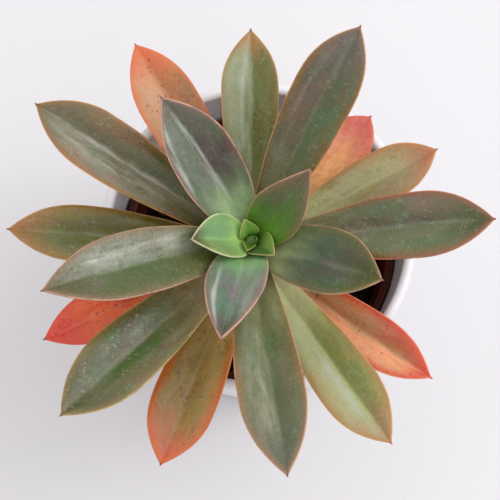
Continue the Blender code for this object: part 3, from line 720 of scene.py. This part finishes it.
FINISHES = {
    "leaf_01": YOUNG_LEAF | dict(
        base=(58, 98, 0), body=(66, 102, 0), blush=(150, 168, 96, 0.1), rim=(200, 188, 136, 0.15),
        film=(0.0, 0.06, 0.0),
    ),
    "leaf_02": YOUNG_LEAF | dict(
        base=(56, 96, 0), body=(86, 120, 14), blush=(150, 168, 96, 0.2), rim=(200, 188, 136, 0.4),
        film=(0.0, 0.06, 0.0),
    ),
    "leaf_03": YOUNG_LEAF | dict(base=(104, 164, 50), body=(134, 182, 80), tip=(184, 164, 116)),
    "leaf_04": YOUNG_LEAF | dict(
        base=(92, 140, 36), body=(78, 114, 48), tip=(166, 134, 92), tip_start=0.84,
        left=(138, 170, 80, 0.7), right=(62, 92, 38, 0.6),
    ),
    "leaf_05": YOUNG_LEAF | dict(
        base=(176, 216, 116), body=(130, 176, 112), tip=(88, 82, 48), tip_start=0.74,
        left=(122, 136, 78, 0.7), right=(96, 136, 94, 0.6), blush=(176, 186, 138, 0.35), blush_width=1.6,
        rim=(218, 210, 170, 0.7), rim_width=0.6, film=(0.05, 0.2, 0.0), gloss=0.26,
    ),
    "leaf_06": dict(
        base=(88, 142, 22), body=(78, 112, 46), tip=(108, 94, 74), tip_start=0.5,
        green=(66, 108, 36, 0.55), mauve=(108, 88, 84, 0.45), gold=(122, 98, 34, 0.15),
        under=(112, 120, 80), blush=(132, 98, 78, 0.6), rim=(194, 150, 112, 0.9),
        mottle=(88, 64, 34, 0.06), film=(0.08, 0.06, 0.12),
    ),
    "leaf_07": dict(
        base=(150, 196, 118), body=(98, 132, 106), tip=(66, 68, 48), left=(128, 114, 100, 0.55),
        right=(78, 86, 70, 0.55), green=(78, 122, 92, 0.55), mauve=(122, 96, 112, 0.6),
        gold=(122, 98, 34, 0.0), blush=(142, 106, 98, 0.5), rim=(204, 152, 136, 0.9), rim_width=0.6,
        mottle=(88, 64, 34, 0.0), wax=(192, 196, 190), film=(0.3, 0.1, 0.12), streak=(-0.66, 0.6),
    ),
    "leaf_08": dict(
        base=(164, 194, 138), body=(86, 100, 74), tip=(98, 88, 76), tip_start=0.75, left=(80, 90, 74, 0.6),
        right=(52, 36, 34, 0.95), green=(80, 108, 74, 0.55), mauve=(104, 80, 84, 0.45),
        gold=(122, 98, 34, 0.05), blush=(116, 86, 76, 0.5), rim=(204, 150, 132, 0.9), rim_width=0.6,
        mottle=(88, 64, 34, 0.0), wax=(186, 188, 182), film=(0.17, 0.03, 0.55), streak=(0.8, 0.7),
    ),
    "leaf_09": dict(
        base=(176, 184, 130), body=(68, 84, 62), tip=(70, 72, 20), right=(78, 88, 72, 0.5),
        green=(56, 86, 56, 0.7), mauve=(88, 74, 74, 0.45), gold=(112, 100, 40, 0.3),
        blush=(124, 104, 56, 0.35), blush_width=3.0, rim=(186, 138, 104, 0.9), mottle=(88, 64, 34, 0.06),
        film=(0.04, 0.04, 0.12),
    ),
    "leaf_10": dict(
        base=(96, 96, 36), body=(80, 92, 56), tip=(84, 82, 50), left=(66, 86, 42, 0.6),
        right=(106, 104, 86, 0.6), green=(70, 100, 52, 0.55), mauve=(116, 98, 92, 0.35),
        gold=(122, 98, 34, 0.15), blush=(140, 100, 74, 0.5), rim=(196, 144, 118, 0.9),
        mottle=(88, 64, 34, 0.1), wax=(186, 188, 176), film=(0.05, 0.56, 0.12), streak=(-0.45, 0.3),
        gloss=0.22, wrinkle=1.1,
    ),
    "leaf_11": dict(
        base=(120, 114, 84), body=(80, 88, 56), tip=(98, 90, 84), tip_start=0.72, left=(52, 60, 36, 0.55),
        right=(74, 96, 56, 0.5), green=(62, 98, 50, 0.7), mauve=(98, 80, 80, 0.45),
        gold=(104, 72, 18, 0.8), blush=(124, 88, 44, 0.5), rim=(200, 146, 92, 0.9),
        mottle=(94, 66, 32, 0.5), fleck_share=0.6, wax=(150, 144, 150), film=(0.08, 0.05, 0.12),
        streak=(0.55, 0.2),
    ),
    "leaf_12": dict(
        base=(160, 160, 112), body=(90, 96, 54), tip=(86, 92, 74), left=(44, 72, 22, 0.6),
        right=(116, 108, 74, 0.6), green=(76, 108, 68, 0.7), mauve=(124, 100, 88, 0.25),
        gold=(122, 98, 34, 0.25), blush=(146, 100, 64, 0.5), rim=(200, 142, 106, 0.9),
        mottle=(88, 64, 34, 0.2), film=(0.06, 0.3, 0.15), streak=(-0.16, 0.3),
    ),
    "leaf_13": dict(
        base=(84, 78, 28), body=(82, 84, 42), tip=(92, 88, 56), left=(98, 98, 66, 0.5),
        right=(46, 50, 20, 0.5), green=(62, 84, 44, 0.7), mauve=(108, 78, 70, 0.55),
        gold=(128, 86, 20, 0.85), blush=(136, 88, 40, 0.65), blush_width=3.4, rim=(192, 134, 62, 0.9),
        mottle=(92, 62, 28, 0.5), fleck_share=0.5, wax=(180, 176, 164), film=(0.28, 0.05, 0.6),
        streak=(0.4, 0.35),
    ),
    "leaf_14": dict(
        base=(150, 152, 106), body=(86, 94, 60), tip=(58, 66, 12), left=(50, 42, 22, 0.65),
        green=(72, 98, 56, 0.7), mauve=(116, 82, 72, 0.6), gold=(122, 98, 34, 0.25),
        blush=(138, 76, 48, 0.65), rim=(192, 112, 78, 0.9), mottle=(88, 64, 34, 0.15), fleck_share=0.6,
        film=(0.05, 0.1, 0.12),
    ),
    "leaf_15": dict(
        base=(206, 176, 130), body=(66, 82, 34), tip=(64, 68, 16), right=(54, 58, 12, 0.7),
        green=(68, 98, 44, 0.6), mauve=(116, 84, 70, 0.3), gold=(122, 98, 34, 0.25),
        blush=(134, 106, 52, 0.5), rim=(178, 148, 78, 0.9), mottle=(96, 66, 36, 0.45), fleck_share=0.9,
        film=(0.05, 0.02, 0.12),
    ),
    "leaf_16": dict(
        base=(132, 136, 84), body=(94, 104, 42), tip=(154, 110, 58), tip_start=0.86,
        left=(136, 142, 106, 0.85), right=(90, 90, 0, 1.0), green=(84, 108, 46, 0.5),
        mauve=(112, 86, 80, 0.05), gold=(126, 112, 34, 0.4), blush=(148, 116, 58, 0.5), blush_width=2.4,
        rim=(194, 148, 86, 0.9), mottle=(88, 64, 34, 0.08), fleck_share=0.5, wax=(186, 190, 172),
        film=(0.36, 0.0, 0.3), streak=(0.25, 0.3),
    ),
    "leaf_17": dict(
        base=(242, 242, 186), body=(158, 166, 102), tip=(160, 126, 88), tip_start=0.8,
        left=(104, 112, 54, 0.85), right=(152, 160, 118, 0.85), green=(116, 142, 66, 0.25),
        mauve=(112, 86, 80, 0.05), gold=(160, 136, 60, 0.75), blush=(162, 118, 64, 0.75),
        rim=(210, 154, 100, 0.9), nib=(160, 62, 46), mottle=(88, 64, 34, 0.06), fleck_share=0.6,
        film=(0.02, 0.3, 0.1), streak=(-0.2, 0.45),
    ),
    "leaf_18": dict(
        base=(110, 108, 30), body=(80, 82, 0), tip=(140, 94, 44), tip_start=0.78, green=(70, 86, 22, 0.55),
        mauve=(120, 84, 56, 0.05), gold=(140, 112, 6, 0.5), blush=(150, 102, 44, 0.45),
        rim=(194, 138, 78, 0.9), nib=(150, 60, 46), mottle=(66, 46, 14, 0.25), freckle=(84, 46, 12, 0.5),
        fleck_share=0.7, film=(0.1, 0.02, 0.12),
    ),
    "leaf_19": dict(
        base=(206, 212, 148), body=(150, 144, 96), tip=(160, 92, 54), tip_start=0.74,
        right=(126, 126, 76, 0.5), green=(116, 132, 64, 0.22), mauve=(132, 100, 84, 0.6),
        gold=(148, 114, 46, 0.85), blush=(172, 114, 64, 0.6), rim=(210, 142, 90, 0.9),
        mottle=(118, 102, 40, 0.45), fleck_share=0.8, film=(0.14, 0.08, 0.12),
    ),
    "leaf_20": dict(
        base=(236, 196, 126), body=(144, 116, 42), tip=(200, 90, 56), tip_start=0.74,
        green=(100, 98, 30, 0.5), mauve=(150, 92, 68, 0.2), gold=(176, 126, 26, 0.6),
        blush=(202, 94, 34, 0.8), blush_width=5.0, rim=(216, 122, 76, 0.9), nib=(160, 50, 36),
        mottle=(96, 70, 24, 0.35), freckle=(120, 40, 20, 0.6), film=(0.04, 0.06, 0.12),
    ),
    "leaf_21": dict(
        base=(156, 118, 66), body=(182, 128, 74), tip=(206, 98, 56), tip_start=0.74,
        left=(196, 148, 110, 0.85), right=(140, 92, 32, 0.85), green=(150, 116, 48, 0.2),
        mauve=(210, 130, 96, 0.3), gold=(180, 110, 34, 0.4), under=(206, 140, 100),
        blush=(212, 110, 66, 0.65), blush_width=2.8, rim=(230, 128, 84, 0.9), nib=(176, 56, 36),
        mottle=(196, 104, 46, 0.3), freckle=(160, 50, 28, 0.9), film=(0.1, 0.02, 0.12),
    ),
    "leaf_22": dict(
        base=(196, 156, 108), body=(190, 124, 74), tip=(190, 60, 26), tip_start=0.84,
        left=(162, 52, 12, 0.9), right=(238, 154, 106, 0.9), green=(150, 128, 66, 0.5),
        mauve=(214, 136, 108, 0.3), gold=(206, 128, 50, 0.3), under=(206, 128, 88),
        blush=(204, 42, 6, 0.75), blush_width=4.2, rim=(238, 150, 110, 0.9), nib=(160, 44, 28),
        mottle=(180, 78, 32, 0.3), freckle=(136, 34, 20, 0.9), film=(0.03, 0.06, 0.12),
    ),
    "leaf_23": dict(
        base=(206, 86, 36), body=(240, 98, 26), tip=(220, 64, 40), green=(74, 98, 52, 0.0),
        mauve=(226, 92, 84, 0.15), gold=(240, 100, 34, 0.5), under=(200, 88, 58), blush=(216, 60, 40, 0.6),
        rim=(226, 100, 66, 0.9), nib=(130, 36, 24), mottle=(206, 54, 32, 0.4), freckle=(150, 34, 28, 0.6),
        film=(0.05, 0.05, 0.12), wrinkle=0.6,
    ),
    "leaf_24": dict(
        base=(250, 200, 86), body=(250, 180, 110), tip=(196, 84, 72), tip_start=0.56,
        left=(194, 114, 68, 0.5), green=(74, 98, 52, 0.0), mauve=(196, 110, 108, 0.4),
        gold=(232, 140, 60, 0.5), under=(186, 104, 82), blush=(210, 92, 76, 0.5), rim=(220, 120, 100, 0.9),
        mottle=(176, 96, 88, 0.12), freckle=(150, 56, 44, 0.3), gloss=0.42,
    ),
    "dry_leaf": dict(
        base=(96, 62, 44), body=(128, 88, 82), tip=(96, 58, 48), green=(74, 98, 52, 0.0),
        gold=(122, 98, 34, 0.2), under=(110, 74, 64), blush=(84, 50, 38, 0.5), rim=(140, 96, 76, 0.9),
        mottle=(78, 48, 38, 0.7), fleck_share=0.1, film=(0.0, 0.0, 0.0), gloss=0.62, wrinkle=1.4,
    ),
}


def tints(look, names):
    """Socket values for these colours of a look, each with its share if it has one."""
    values = {}
    for name in names.split():
        *colour, share = (*look[name], None)[:4]
        values[name.title()] = tone(*colour)
        if share is not None:
            values[name.title() + " Share"] = share
    return values


def leaf_material(name):
    """A leaf's skin: ground colours, marks, the wax film, then blush and rim over them, and the fine relief."""
    look = PLAIN_LEAF | FINISHES[name]
    made, tree, shader = new_material(name + "_skin")
    where = {"Place": attribute(tree, "place", "Vector"), "Reach": attribute(tree, "reach", "Vector")}
    reach = {"Reach": where["Reach"]}
    ground = tints(look, "base body tip left right green mauve gold under") | {"Tip Start": look["tip_start"]}
    colour = use(tree, LEAF_GROUND, where | ground)["Color"]
    marks = tints(look, "mottle freckle") | {"Fleck Share": look["fleck_share"]}
    marked = use(tree, SKIN_MARKS, reach | marks | {"Color": colour})
    # Along with the real wax bloom, the film lays painted sheen, a painted crease highlight and a painted glint.
    left, right, crease = look["film"]
    streak_place, streak = look["streak"]
    film = {"Left": left, "Right": right, "Crease": crease, "Streak Place": streak_place, "Streak": streak}
    film |= tints(look, "wax") | {"Gloss": look["gloss"], "Color": marked["Color"]}
    waxed_and_sheened = use(tree, WAX_AND_SHEEN, where | film)
    rim = {"Edge": attribute(tree, "edge"), "Blush Width": look["blush_width"], "Rim Width": look["rim_width"]}
    rim |= tints(look, "blush rim nib") | {"Color": waxed_and_sheened["Color"]}
    rimmed = use(tree, LEAF_RIM, where | rim)
    relief = use(tree, SKIN_RELIEF, reach | {"Marks": marked["Height"], "Wrinkle Share": look["wrinkle"]})
    finish(tree, shader, rimmed["Color"], waxed_and_sheened["Roughness"], relief["Height"], 0.8, 0.0004)
    return made


# ---------------------------------------------------------------- pot, soil and stem finishes


def glaze_material():
    """White satin glaze with a faint warm and cool drift, and a bare, rougher foot."""
    made, tree, shader = new_material("white_glaze")
    place = object_place(tree)
    cloud = noise(tree, place, 18.0, 4.0, 0.5)
    ground = blend(tree, ease(tree, cloud, 0.35, 0.65), tone(236, 236, 241), tone(241, 240, 244))
    wear = {"Color": ground, "Film": tone(206, 200, 194), "Film Share": 0.10, "Scale": 60.0}
    worn = use(tree, POT_WEAR, wear)
    foot = ease(tree, split(tree, place)[2], 0.0006, 0.0016, 1.0, 0.0)
    colour = blend(tree, foot, worn["Color"], tone(214, 204, 190))
    rough = plus(tree, ease(tree, cloud, 0.3, 0.7, 0.26, 0.34), times(tree, foot, 0.4))
    swell = times(tree, noise(tree, place, 90.0, 2.0, 0.5), 0.7)
    grain = times(tree, noise(tree, place, 1400.0, 2.0, 0.5), 0.06)
    finish(tree, shader, colour, rough, plus(tree, swell, grain), 0.25, 0.0004)
    return made


def plastic_material():
    """Dull brown moulded plastic, splashed with dried soil and dust."""
    made, tree, shader = new_material("brown_plastic", 0.3)
    place = object_place(tree)
    ground = blend(tree, noise(tree, place, 40.0, 3.0, 0.5), tone(62, 14, 4), tone(80, 25, 10))
    wear = {"Color": ground, "Film": tone(104, 66, 44), "Film Share": 0.07, "Scale": 130.0}
    worn = use(tree, POT_WEAR, wear)
    rough = plus(tree, times(tree, worn["Mask"], 0.5), 0.48)
    finish(tree, shader, worn["Color"], rough, noise(tree, place, 1500.0, 3.0, 0.6), 0.35, 0.0002)
    return made


def soil_material():
    """Dark potting soil: crumbs of brown and black, pale specks of grit and a rough, porous relief."""
    made, tree, shader = new_material("potting_soil", 0.2)
    place = object_place(tree)
    clump = noise(tree, place, 420.0, 5.0, 0.7)
    ground = blend(tree, ease(tree, clump, 0.35, 0.70), tone(10, 4, 2), tone(32, 17, 10))
    fibre = ease(tree, noise(tree, stretched(tree, place, (1.0, 3.0, 1.0)), 500.0, 3.0, 0.6, 1.5), 0.62, 0.70)
    ground = blend(tree, fibre, ground, tone(78, 52, 34))
    rare = ease(tree, noise(tree, place, 180.0, 1.0, 0.5), 0.58, 0.62)
    grit = times(tree, dots(tree, place, 520.0, 0.10, 0.16), rare)
    colour = blend(tree, grit, ground, tone(170, 156, 138))
    relief = plus(tree, clump, times(tree, noise(tree, place, 1700.0, 3.0, 0.6), 0.5))
    finish(tree, shader, colour, 0.95, relief, 0.9, 0.0012)
    return made


def crumb_material():
    """Loose crumbs: each has its own shade, from black peat through bark to pale grit, and all are grainy."""
    made, tree, shader = new_material("soil_crumb")
    shade = attribute(tree, "shade")
    colour = blend(tree, ease(tree, shade, 0.0, 0.55), tone(10, 4, 2), tone(36, 20, 12))
    colour = blend(tree, ease(tree, shade, 0.62, 0.85), colour, tone(74, 48, 32))
    colour = blend(tree, ease(tree, shade, 0.96, 0.98), colour, tone(170, 156, 140))
    grain = noise(tree, object_place(tree), 1900.0, 4.0, 0.7)
    colour = blend(tree, 0.6, colour, blend(tree, grain, grey(0.1), grey(0.9)), "OVERLAY")
    finish(tree, shader, colour, 0.92, grain, 0.8, 0.0005)
    return made


def stem_material():
    """Dull brown-green bark, pale at the old leaf scars, with fine rings and cracks."""
    made, tree, shader = new_material("stem_bark")
    place = object_place(tree)
    streak = noise(tree, stretched(tree, place, (1.0, 1.0, 0.25)), 700.0, 5.0, 0.65, 0.5)
    ground = blend(tree, ease(tree, streak, 0.35, 0.65), tone(92, 72, 44), tone(134, 116, 76))
    young = ease(tree, split(tree, place)[2], COVER_HEIGHT + 0.006, STEM_TOP_HEIGHT - 0.006)
    ground = blend(tree, young, ground, tone(104, 136, 62))
    colour = blend(tree, times(tree, attribute(tree, "scar"), 0.7), ground, tone(172, 148, 112))
    ring = noise(tree, stretched(tree, place, (0.3, 0.3, 2.0)), 600.0, 4.0, 0.6)
    relief = plus(tree, times(tree, streak, 0.6), times(tree, ring, 0.6))
    finish(tree, shader, colour, 0.72, relief, 0.6, 0.0006)
    return made


# ---------------------------------------------------------------- pieces


def add_object(name, data):
    made = bpy.data.objects.new(name, data)
    bpy.context.scene.collection.objects.link(made)
    return made


def piece(name, mesh, look, node=None):
    """An object that rides on the part's one body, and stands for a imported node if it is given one."""
    made = add_object(name, mesh)
    mesh.materials.append(look)
    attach(made, "root")
    if node:
        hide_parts(node)
    return made


def make_leaves():
    """Each leaf's skin, which carries its place, reach and edge values for its material."""
    for number, leaf in enumerate(LEAVES, 1):
        rings, place, reach, edge = leaf_rings(leaf, number)
        mesh = closed_skin(leaf.name + "_skin", rings)
        for name, values in (("place", place), ("reach", reach), ("edge", edge)):
            set_attribute(mesh, name, ring_values(values))
        piece(leaf.name + "_skin", mesh, leaf_material(leaf.name), leaf.name)


def make_cover_pot():
    """The cover pot's profile, from its floor up the inside, over the round rim, down the outside and under."""
    lip = 0.5 * COVER_WALL
    outer = COVER_BASE_RADIUS + COVER_TAPER * COVER_FLOOR / COVER_HEIGHT
    corner = outer - COVER_WALL - COVER_FLOOR_ROUND
    inside_foot = arc((corner, COVER_FLOOR + COVER_FLOOR_ROUND), COVER_FLOOR_ROUND, -90, 0, 7)
    over = arc((COVER_TOP_RADIUS - lip, COVER_HEIGHT - lip), lip, 180, 0, 21)
    under = arc((COVER_BASE_RADIUS - COVER_FOOT_ROUND, COVER_FOOT_ROUND), COVER_FOOT_ROUND, 0, -90, 9)
    middle = (0.0, 0.0)
    inside = [run((0.0, COVER_FLOOR), inside_foot[0], 6), inside_foot[:-1], run(inside_foot[-1], over[0], 24)]
    outside = [over[:-1], run(over[-1], under[0], 24), under[:-1], run(under[-1], middle, 8), [middle]]
    mesh = closed_skin("cover_pot_shell", turned_rings(np.concatenate(inside + outside), sides=FINE_SIDES))
    piece("cover_pot_shell", mesh, glaze_material(), "cover_pot")


def nursery_inner(height):
    """The nursery pot's inside radius at a height above its underside, below the rim band's step."""
    top = NURSERY_RADIUS - NURSERY_BAND_STEP - NURSERY_WALL
    base = NURSERY_RADIUS - NURSERY_TAPER - NURSERY_WALL
    return base + (top - base) * height / (NURSERY_HIGH.z - NURSERY_LOW.z)


def make_nursery_pot():
    """The nursery pot's profile with its rolled rim and stepped band, then the drainage holes cut through."""
    low = NURSERY_LOW.z
    tall = NURSERY_HIGH.z - low
    ledge = tall - NURSERY_BAND_HEIGHT
    inner_ledge = ledge + NURSERY_WALL
    lip = 0.5 * NURSERY_WALL
    over = arc((NURSERY_RADIUS - lip, tall - lip), lip, 180, 0, 9)
    corner = (nursery_inner(NURSERY_FLOOR), NURSERY_FLOOR)
    step = (nursery_inner(inner_ledge), inner_ledge)
    band = (NURSERY_RADIUS - NURSERY_WALL, inner_ledge + NURSERY_BAND_STEP)
    inside = [run((0.0, NURSERY_FLOOR), corner, 6), run(corner, step, 24), run(step, band, 3)]
    inside += [run(band, over[0], 3), over[:-1]]
    ledge_edge = (NURSERY_RADIUS, ledge)
    wall_top = (nursery_inner(ledge) + NURSERY_WALL, ledge)
    foot = (NURSERY_RADIUS - NURSERY_TAPER, 0.0)
    middle = (0.0, 0.0)
    outside = [run(over[-1], ledge_edge, 4), run(ledge_edge, wall_top, 2), run(wall_top, foot, 24)]
    outside += [run(foot, middle, 6), [middle]]
    profile = np.concatenate(inside + outside) + (0.0, low)
    mesh = closed_skin("nursery_pot_shell", turned_rings(profile, NURSERY_CENTRE))
    mesh.set_sharp_from_angle(angle=math.radians(35))
    made = piece("nursery_pot_shell", mesh, plastic_material(), "nursery_pot")
    for turn in range(DRAIN_HOLES):
        angle = 2.0 * math.pi * turn / DRAIN_HOLES
        x = NURSERY_CENTRE[0] + DRAIN_CIRCLE_RADIUS * math.cos(angle)
        y = NURSERY_CENTRE[1] + DRAIN_CIRCLE_RADIUS * math.sin(angle)
        radii = (0.0, DRAIN_RADIUS, DRAIN_RADIUS, 0.0)
        ends = (low - DRILL_BELOW, low - DRILL_BELOW, low + DRILL_ABOVE, low + DRILL_ABOVE)
        drill = add_object("drill", closed_skin("drill", turned_rings(list(zip(radii, ends)), (x, y), 24)))
        cut = made.modifiers.new("drain", "BOOLEAN")
        cut.operation = "DIFFERENCE"
        cut.object = drill
        bake_modifiers(made)
        bpy.data.objects.remove(drill, do_unlink=True)


def bake_modifiers(made):
    """Puts the evaluated mesh in place of the object's own and drops its modifiers."""
    bpy.context.view_layer.update()
    evaluated = made.evaluated_get(bpy.context.evaluated_depsgraph_get())
    fresh = bpy.data.meshes.new_from_object(evaluated)
    made.modifiers.clear()
    made.data = fresh


def soil_top(x, y):
    """The soil's height: a low mound with soft clods on it, which flatten at the pot's wall."""
    radius = np.hypot(x - NURSERY_CENTRE[0], y - NURSERY_CENTRE[1]) / SOIL_EDGE
    clods = sum(rise * soft_noise(x / spacing, y / spacing, seed) for rise, spacing, seed in CLODS)
    inside = np.clip((1.0 - radius) / SETTLED_SHARE, 0.0, 1.0)
    mound = SOIL_MOUND * (1.0 - np.clip(radius, 0.0, 1.0) ** 2)
    return SOIL_HEIGHT - SOIL_SINK + mound + clods * inside


def make_soil():
    """A polar grid: out across the uneven top, then down along the pot's wall and in to the middle."""
    floor = NURSERY_LOW.z + NURSERY_FLOOR + GAP
    narrow = nursery_inner(NURSERY_FLOOR + GAP) - GAP
    out = np.linspace(0.0, 1.0, SOIL_RINGS)
    halfway = (0.5 * (SOIL_EDGE + narrow), 0.5 * (SOIL_HEIGHT + floor))
    wall = [(SOIL_EDGE, SOIL_HEIGHT - 0.002), halfway, (narrow, floor), (0.0, floor)]
    profile = np.concatenate([np.stack([out * SOIL_EDGE, np.zeros_like(out)], 1), wall])
    rings = turned_rings(profile, NURSERY_CENTRE, FINE_SIDES).copy()
    top = rings[:SOIL_RINGS]
    top[..., 2] = soil_top(top[..., 0], top[..., 1])
    piece("soil_plug", closed_skin("soil_plug", rings), soil_material(), "soil")


def make_crumbs():
    """Loose crumbs strewn on the soil: one small ball of rings for all, each stretched, turned and dented."""
    draw = np.random.default_rng(21)
    tilt = np.linspace(0.0, math.pi, CRUMB_RINGS)
    ball = ring_values(turned_rings(np.stack([np.sin(tilt), np.cos(tilt)], 1), sides=CRUMB_SIDES))
    size = CRUMB_SMALLEST + CRUMB_RANGE * draw.random(CRUMBS) ** 3
    stretch = draw.uniform(0.55, 1.3, (CRUMBS, 1, 3))
    dent = 1.0 + draw.uniform(-0.28, 0.28, (CRUMBS, len(ball), 1))
    shapes = ball[None] * stretch * dent * size[:, None, None]
    turn = draw.uniform(0.0, 2.0 * math.pi, (CRUMBS, 1))
    lean = draw.uniform(-0.9, 0.9, (CRUMBS, 1))
    y = shapes[..., 1] * np.cos(lean) - shapes[..., 2] * np.sin(lean)
    z = shapes[..., 1] * np.sin(lean) + shapes[..., 2] * np.cos(lean)
    x = shapes[..., 0] * np.cos(turn) - y * np.sin(turn)
    y = shapes[..., 0] * np.sin(turn) + y * np.cos(turn)
    radius = (SOIL_EDGE - CRUMB_FROM_WALL) * np.sqrt(draw.random(CRUMBS))
    bearing = draw.uniform(0.0, 2.0 * math.pi, CRUMBS)
    centre_x = NURSERY_CENTRE[0] + radius * np.cos(bearing)
    centre_y = NURSERY_CENTRE[1] + radius * np.sin(bearing)
    clear = np.hypot(centre_x - STEM_FOOT[0], centre_y - STEM_FOOT[1]) > STEM_RADIUS + CRUMB_FROM_STEM
    height = soil_top(centre_x, centre_y) + 0.25 * size
    placed = np.stack([x + centre_x[:, None], y + centre_y[:, None], z + height[:, None]], -1)[clear]
    offset = (np.arange(len(placed)) * len(ball))[:, None, None]
    faces = [group[:, ::-1] for group in skin_faces(CRUMB_RINGS, CRUMB_SIDES)]
    groups = [(group[None] + offset).reshape(-1, group.shape[1]) for group in faces]
    mesh = faces_mesh("soil_crumbs", placed.reshape(-1, 3), groups)
    set_attribute(mesh, "shade", np.repeat(draw.random(CRUMBS)[clear], len(ball)))
    piece("soil_crumbs", mesh, crumb_material())


def make_stem():
    """The stem's rings follow its leaning line, and low scars climb it in a spiral below the leaves."""
    heights = np.linspace(STEM_LOW.z, STEM_HIGH.z, STEM_RINGS)
    around = np.linspace(0.0, 2.0 * math.pi, STEM_SIDES, endpoint=False)
    scar = np.zeros((STEM_RINGS, STEM_SIDES))
    lowest = station(len(LEAVES)) + 0.004
    bearing = math.radians(LEAVES[-2].azimuth)
    for turn in range(1, SCARS + 1):
        beside = (around - bearing + SCAR_TURN * turn + math.pi) % (2.0 * math.pi) - math.pi
        across = (beside[None] * STEM_RADIUS / SCAR_HALF_WIDTH) ** 4
        along = ((heights[:, None] - lowest + SCAR_RISE * turn) / SCAR_HALF_HEIGHT) ** 2
        scar = np.maximum(scar, np.exp(-across - along))
    bark = soft_noise(heights[:, None] / 0.004, around[None] * 0.9, 31)
    radius = stem_radius(heights)[:, None] + SCAR_SWELL * scar + BARK_ROUGHNESS * bark
    radius *= np.clip((STEM_HIGH.z - heights) / 0.0008, 0.0, 1.0)[:, None] ** 0.5
    radius[0] = 0.0
    centre_x, centre_y = stem_axis(heights)
    x = centre_x[:, None] + radius * np.cos(around)
    y = centre_y[:, None] + radius * np.sin(around)
    mesh = closed_skin("stem_bark", np.stack([x, y, np.broadcast_to(heights[:, None], x.shape)], -1))
    set_attribute(mesh, "scar", ring_values(scar))
    piece("stem_bark", mesh, stem_material(), "stem")


# ---------------------------------------------------------------- stage, camera and light

FLOOR_HALF = 3.0
VIEW_TILT = math.radians(12.0)
VIEW_DISTANCE = 0.62
VIEW_AIM = (-0.0030, -0.0063)
VIEW_WIDTH = 0.1885
SENSOR_WIDTH = 36.0


def make_floor():
    """A wide pale floor at the pot's foot."""
    made, tree, shader = new_material("pale_floor", 0.2)
    cloud = noise(tree, object_place(tree), 3.0, 3.0, 0.5)
    plug(tree, blend(tree, cloud, tone(219, 218, 221), tone(222, 221, 224)), shader.inputs["Base Color"])
    shader.inputs["Roughness"].default_value = 0.7
    mesh = bpy.data.meshes.new("floor")
    corners = [(FLOOR_HALF * x, FLOOR_HALF * y, 0.0) for x, y in ((-1, -1), (1, -1), (1, 1), (-1, 1))]
    mesh.from_pydata(corners, [], [(0, 1, 2, 3)])
    mesh.materials.append(made)
    add_object("floor", mesh)


def aim(obj, place, target):
    """Puts an object at a place, looking at a target along its own -Z, with its +Y as high as it goes."""
    sight = np.subtract(target, place)
    heading = math.atan2(sight[1], sight[0])
    obj.location = place
    obj.rotation_euler = (math.atan2(math.hypot(sight[0], sight[1]), -sight[2]), 0.0, heading - 0.5 * math.pi)


def make_camera():
    """The camera looks down on the rim, a little from the front. VIEW_WIDTH is the width that it sees there."""
    data = bpy.data.cameras.new("camera")
    data.sensor_width = SENSOR_WIDTH
    data.lens = SENSOR_WIDTH * VIEW_DISTANCE / VIEW_WIDTH
    data.clip_start = 0.05
    camera = add_object("camera", data)
    x, y = VIEW_AIM
    back = VIEW_DISTANCE * math.sin(VIEW_TILT)
    rise = VIEW_DISTANCE * math.cos(VIEW_TILT)
    aim(camera, (x, y - back, COVER_HEIGHT + rise), (x, y, COVER_HEIGHT))
    bpy.context.scene.camera = camera


def soft_box(name, bearing, elevation, distance, size, power, colour):
    """A square area light that looks at the rosette from a bearing and an elevation, in degrees."""
    data = bpy.data.lights.new(name, "AREA")
    data.shape = "SQUARE"
    data.size = size
    data.energy = power
    data.color = colour
    turn, tilt = math.radians(bearing), math.radians(elevation)
    level = distance * math.cos(tilt)
    rise = distance * math.sin(tilt)
    place = (level * math.cos(turn), level * math.sin(turn), COVER_HEIGHT + rise)
    aim(add_object(name, data), place, (0.0, 0.0, COVER_HEIGHT))


def make_light():
    """A wide window on the right with one bright pane, a softer light almost overhead, and pale warm air."""
    world = bpy.data.worlds.new("pale_air")
    world.use_nodes = True
    background = world.node_tree.nodes["Background"].inputs
    background["Color"].default_value = (1.0, 0.965, 0.95, 1.0)
    background["Strength"].default_value = 0.60
    bpy.context.scene.world = world
    soft_box("window", 15.0, 46.0, 1.8, 1.4, 9.5, (0.97, 0.985, 1.0))
    soft_box("pane", 12.0, 42.0, 1.7, 0.40, 4.0, (0.99, 0.99, 1.0))
    soft_box("overhead", 60.0, 84.0, 1.5, 2.4, 18.5, (0.98, 0.985, 1.0))
    bpy.context.scene.view_settings.view_transform = "Standard"


# ---------------------------------------------------------------- everything

make_cover_pot()
make_nursery_pot()
make_soil()
make_crumbs()
make_stem()
make_leaves()
make_floor()
make_camera()
make_light()
